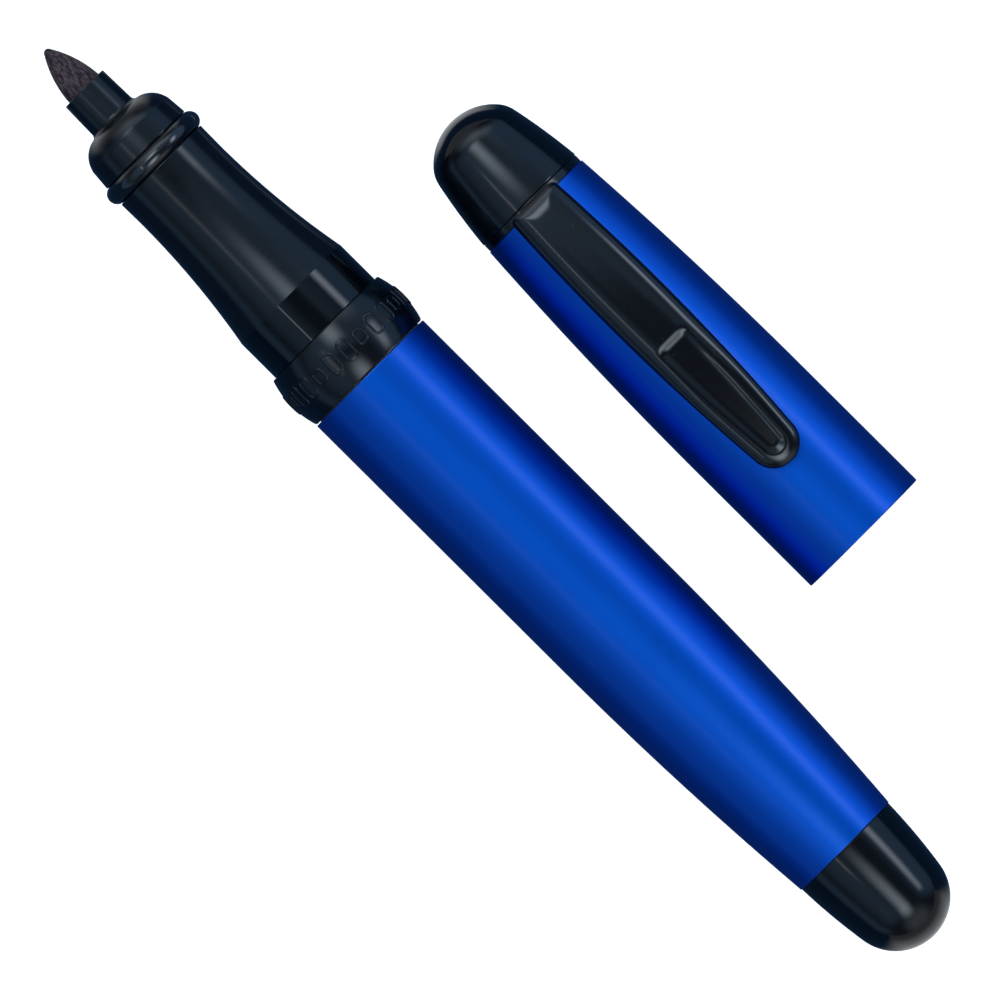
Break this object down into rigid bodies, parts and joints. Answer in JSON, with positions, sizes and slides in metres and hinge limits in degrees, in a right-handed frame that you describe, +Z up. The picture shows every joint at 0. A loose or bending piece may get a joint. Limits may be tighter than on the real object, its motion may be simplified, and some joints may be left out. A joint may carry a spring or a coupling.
{
  "type": "marker pen",
  "caption": "Refillable bullet-tip marker with a metal barrel, a screw-off waisted grip, a replaceable ink insert and a clip cap that lies beside it.",
  "frame": {"origin": "on the marker's axis at the front face of the collar, the plane where the closed cap's mouth stops", "axes": "-X along the marker towards the nib, +X towards the tail; +Y towards the cap that lies beside it; +Z up, away from the surface that marker and cap lie on, the clip on top"},
  "size_m": [0.128, 0.0397, 0.0172],
  "materials": {
    "anodised_blue": "satin anodised",
    "gloss_black": "polished",
    "satin_black": "fine machined satin",
    "clip_lacquer": "gloss lacquer",
    "seal_rubber": "smooth",
    "nib_felt": "pressed fibre, ink-stained",
    "ink_fibre": "bonded fibre, wet with ink",
    "film": "clear film",
    "inner_plastic": "moulded",
    "liner_plastic": "moulded, natural white",
    "bush_brass": "turned",
    "stud_steel": "turned"
  },
  "bodies": {
    "barrel": {"barrel_sleeve": "anodised_blue", "barrel_core": "inner_plastic", "thread_bush": "bush_brass", "collar_ring": "gloss_black", "tail_dome": "gloss_black"},
    "insert": {"nib_holder": "satin_black", "nib": "nib_felt", "insert_tube": "inner_plastic", "insert_plug": "satin_black", "ink_reservoir": "ink_fibre", "reservoir_film": "film"},
    "section": {"grip_section": "satin_black", "seal_ring": "seal_rubber", "thread_oring": "seal_rubber"},
    "cap": {"cap_sleeve": "anodised_blue", "cap_dome": "gloss_black", "clip_ring": "clip_lacquer", "cap_liner": "liner_plastic", "cap_stud": "stud_steel"},
    "clip": {"clip_arm": "clip_lacquer"}
  },
  "joints": [
    {"name": "insert_slide", "type": "slide", "parent": "barrel", "child": "insert", "axis": [-1, 0, 0], "range_m": [0, 0.006]},
    {"name": "section_screw", "type": "hinge", "parent": "insert", "child": "section", "pos_m": [0, 0, 0], "axis": [-1, 0, 0], "range_deg": [0, 1440]},
    {"name": "cap_slide", "type": "slide", "parent": "barrel", "child": "cap", "axis": [-1, 0, 0], "range_m": [0, 0.05364]},
    {"name": "clip_flex", "type": "hinge", "parent": "cap", "child": "clip", "pos_m": [0.00714, 0.024, 0.00765], "axis": [0, -1, 0], "range_deg": [0, 4], "stiffness_Nm_per_rad": 1.6}
  ],
  "couplings": [
    {"joint": "section_screw", "follows": "insert_slide", "rad_per_m": 4188.7}
  ]
}
